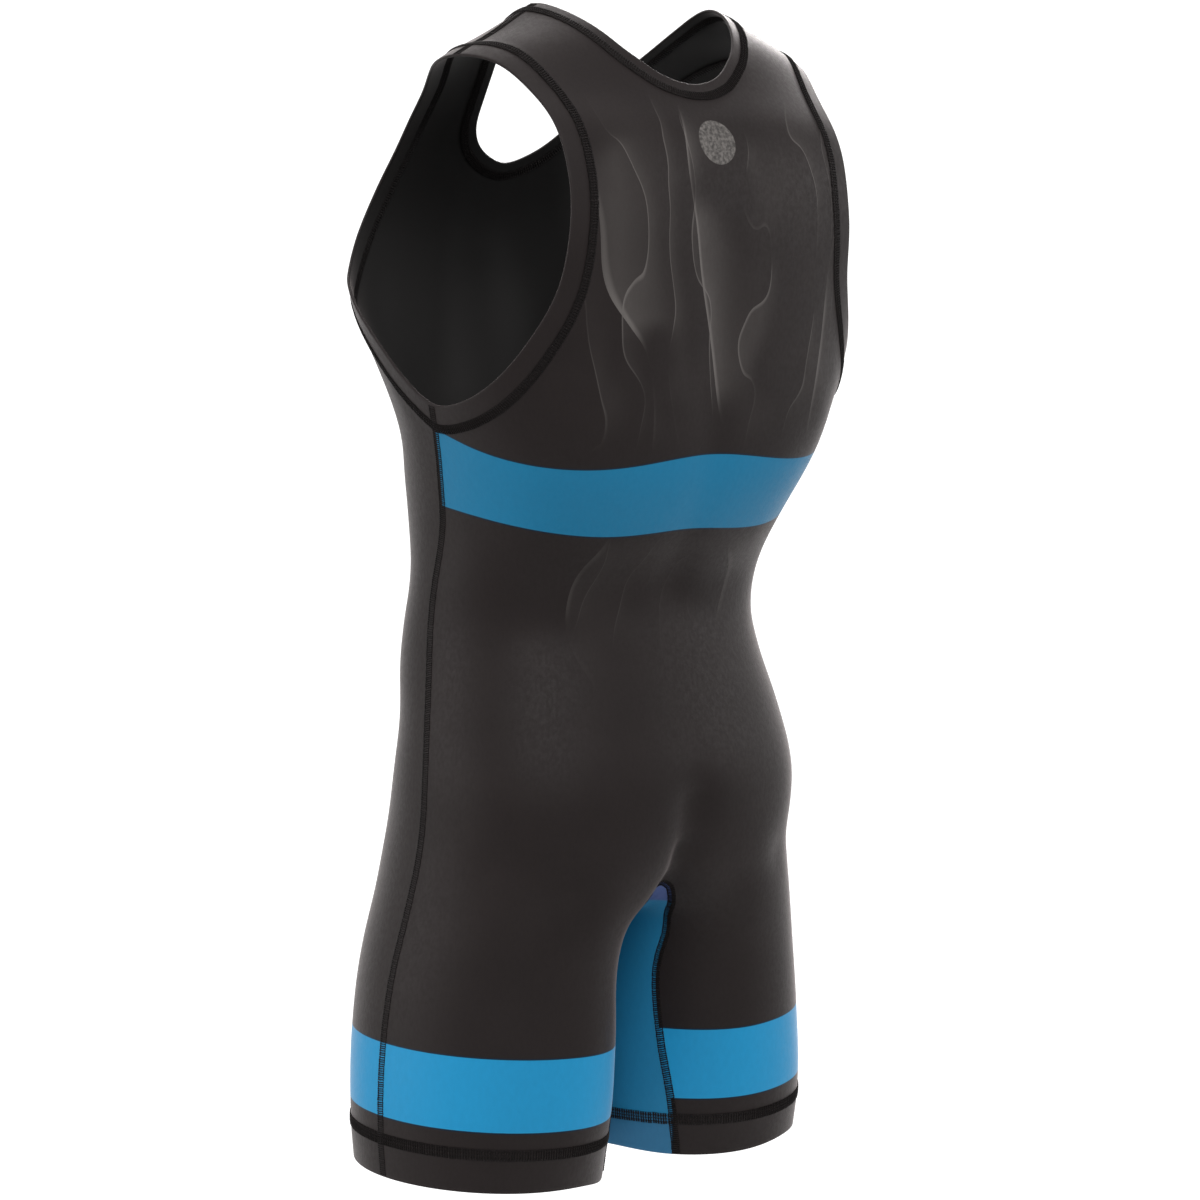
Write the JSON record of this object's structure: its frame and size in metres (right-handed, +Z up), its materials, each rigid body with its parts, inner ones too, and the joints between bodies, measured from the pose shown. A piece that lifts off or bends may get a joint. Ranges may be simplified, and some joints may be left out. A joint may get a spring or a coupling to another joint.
{
  "type": "wrestling singlet",
  "caption": "Sleeveless one-piece wrestling singlet with scooped neck, deep armholes, thigh-length legs and an inner-leg gusset, hollow and open as if worn",
  "frame": {"origin": "on the shoulder line, midway between the two straps and level with their tops", "axes": "+Z up, +X to the wearer's left, +Y out of the wearer's back"},
  "size_m": [0.3758, 0.2758, 0.8598],
  "materials": {
    "black_cloth": "smooth stretch knit, black",
    "blue_cloth": "smooth stretch knit, blue",
    "edge_cloth": "turned and coverstitched stretch knit, black"
  },
  "bodies": {
    "root": {"back_panel": "black_cloth", "front_panel": "black_cloth", "crotch_gusset": "blue_cloth", "neck_edge": "edge_cloth", "armhole_edge_left": "edge_cloth", "armhole_edge_right": "edge_cloth", "hem_left": "edge_cloth", "hem_right": "edge_cloth"}
  },
  "joints": []
}
